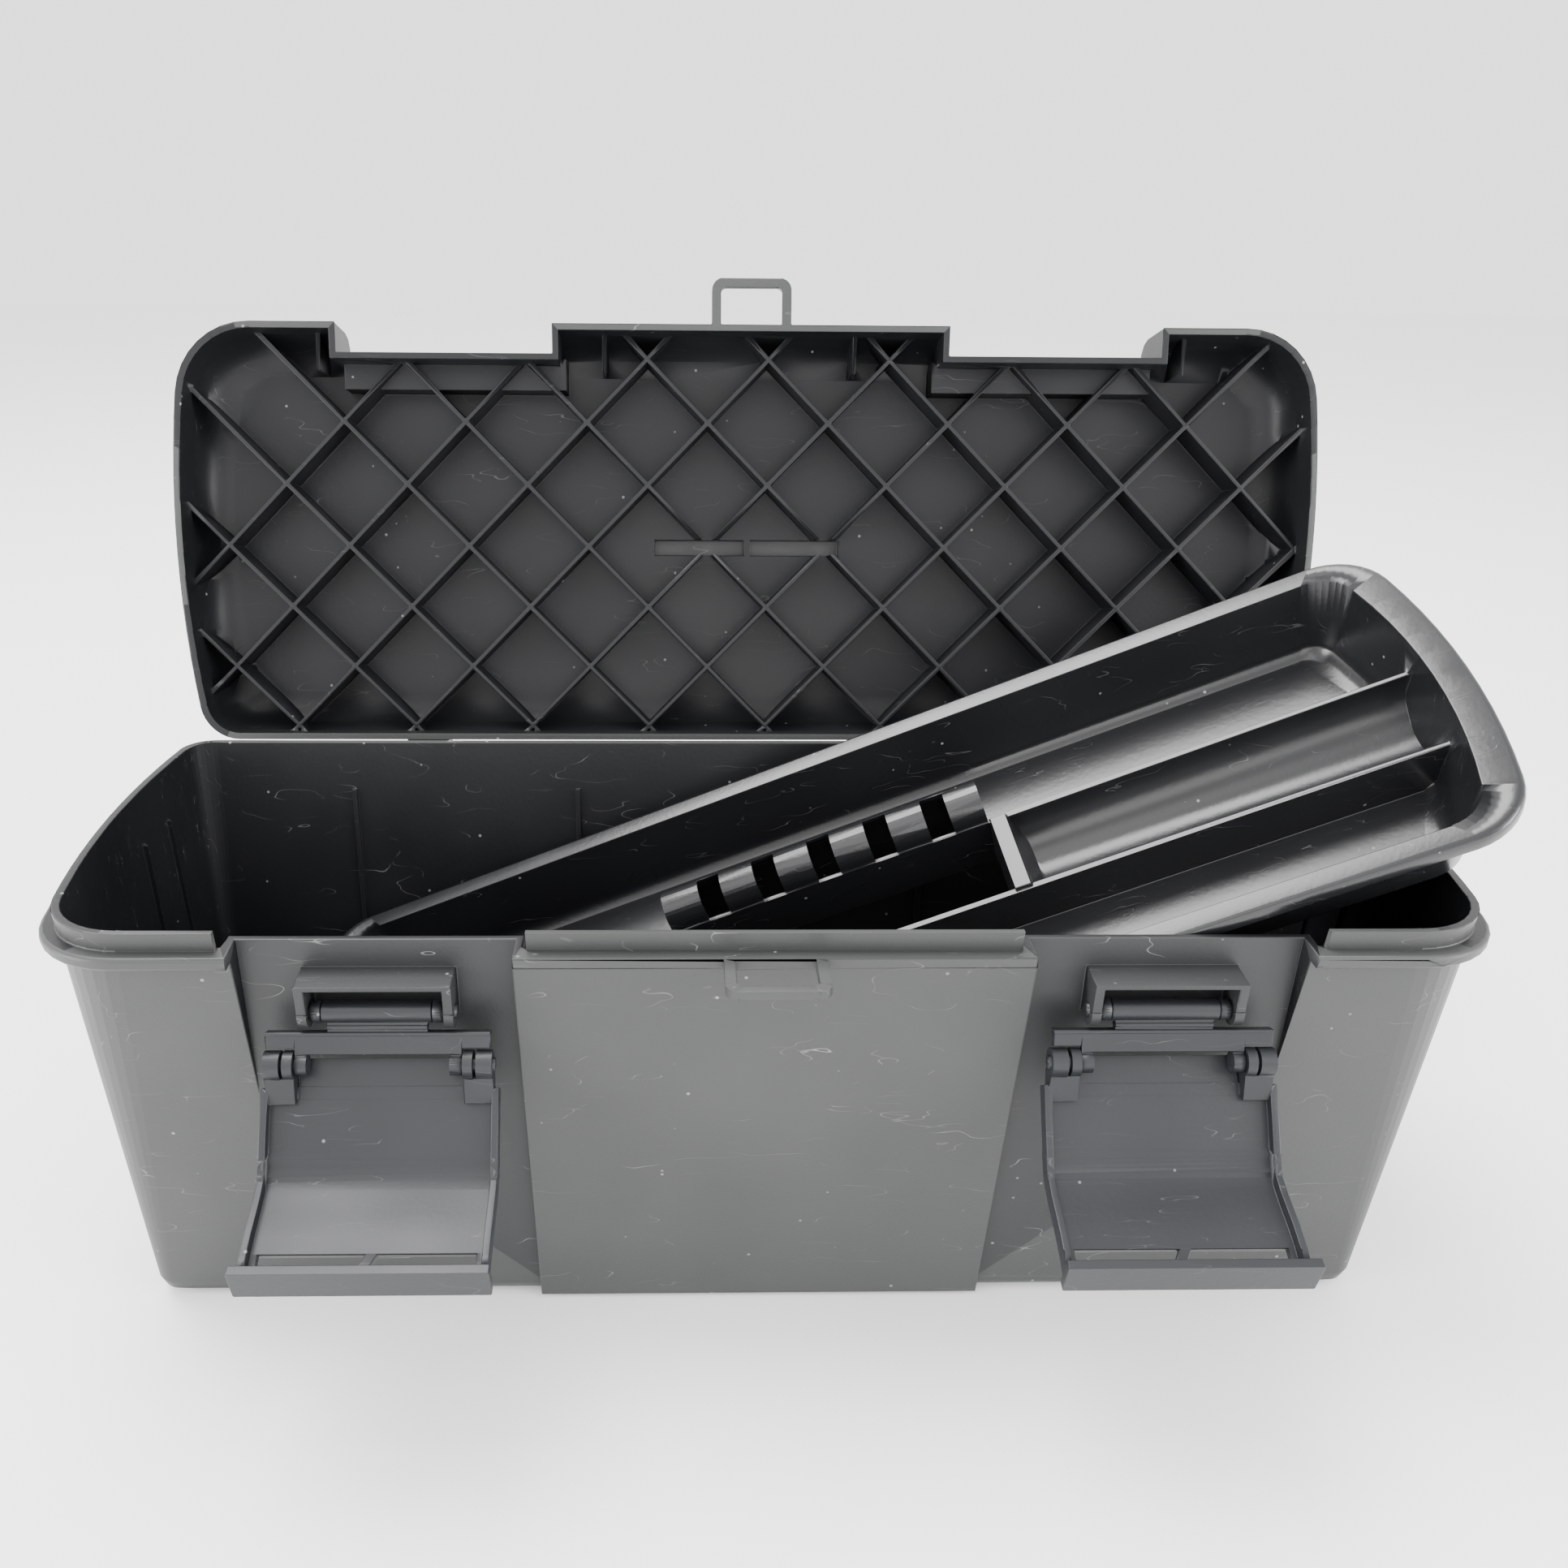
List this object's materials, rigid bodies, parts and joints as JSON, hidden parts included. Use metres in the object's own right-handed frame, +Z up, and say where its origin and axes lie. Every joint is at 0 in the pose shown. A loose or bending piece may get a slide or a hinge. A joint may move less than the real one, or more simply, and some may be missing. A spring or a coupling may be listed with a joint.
{
  "type": "toolbox",
  "caption": "Moulded plastic toolbox with a hinged lid, a lift-out tote tray, hook latches, a bail handle on the lid and padlock eyes.",
  "frame": {"origin": "centre of the box's base, on the surface it stands on", "axes": "+X along the box to the right seen from the latches, -Y to the latched front, +Z up; shown with the lid open"},
  "size_m": [0.41, 0.2819, 0.2869],
  "materials": {
    "body": "dark grey satin moulding with a fine texture",
    "tray": "near-black semi-gloss moulding",
    "handle": "black satin moulding",
    "pin": "drawn steel wire",
    "latch": "near-black semi-gloss moulding"
  },
  "bodies": {
    "tub": {"tub": "body", "hinge_pin_left": "pin", "hinge_pin_right": "pin"},
    "lid": {"lid": "body"},
    "tray": {"tray": "tray"},
    "handle": {"handle": "handle"},
    "link_left": {"latch_link_left": "latch"},
    "link_right": {"latch_link_right": "latch"},
    "flap_left": {"latch_flap_left": "latch"},
    "flap_right": {"latch_flap_right": "latch"}
  },
  "joints": [
    {"name": "lid_hinge", "type": "hinge", "parent": "tub", "child": "lid", "pos_m": [0, 0.0827, 0.1267], "axis": [1, 0, 0], "range_deg": [0, 106.5]},
    {"name": "tray_lay_down", "type": "hinge", "parent": "tub", "child": "tray", "pos_m": [-0.13766, 0, 0.23644], "axis": [-0.0322, 0.9898, 0.1386], "range_deg": [0, 12.85]},
    {"name": "handle_swing", "type": "hinge", "parent": "lid", "child": "handle", "pos_m": [0, 0.14793, 0.19092], "axis": [1, 0, 0], "range_deg": [-14.5, 161.5]},
    {"name": "link_swing_left", "type": "hinge", "parent": "tub", "child": "link_left", "pos_m": [-0.1077, -0.068, 0.119], "axis": [-1, 0, 0], "range_deg": [0, 20]},
    {"name": "flap_swing_left", "type": "hinge", "parent": "link_left", "child": "flap_left", "pos_m": [-0.1077, -0.073, 0.10496], "axis": [-1, 0, 0], "range_deg": [0, 122]},
    {"name": "link_swing_right", "type": "hinge", "parent": "tub", "child": "link_right", "pos_m": [0.1077, -0.068, 0.119], "axis": [-1, 0, 0], "range_deg": [0, 20]},
    {"name": "flap_swing_right", "type": "hinge", "parent": "link_right", "child": "flap_right", "pos_m": [0.1077, -0.073, 0.10496], "axis": [-1, 0, 0], "range_deg": [0, 122]}
  ],
  "couplings": [
    {"joint": "tray_lay_down", "follows": "lid_hinge", "ratio": 0.12019}
  ]
}
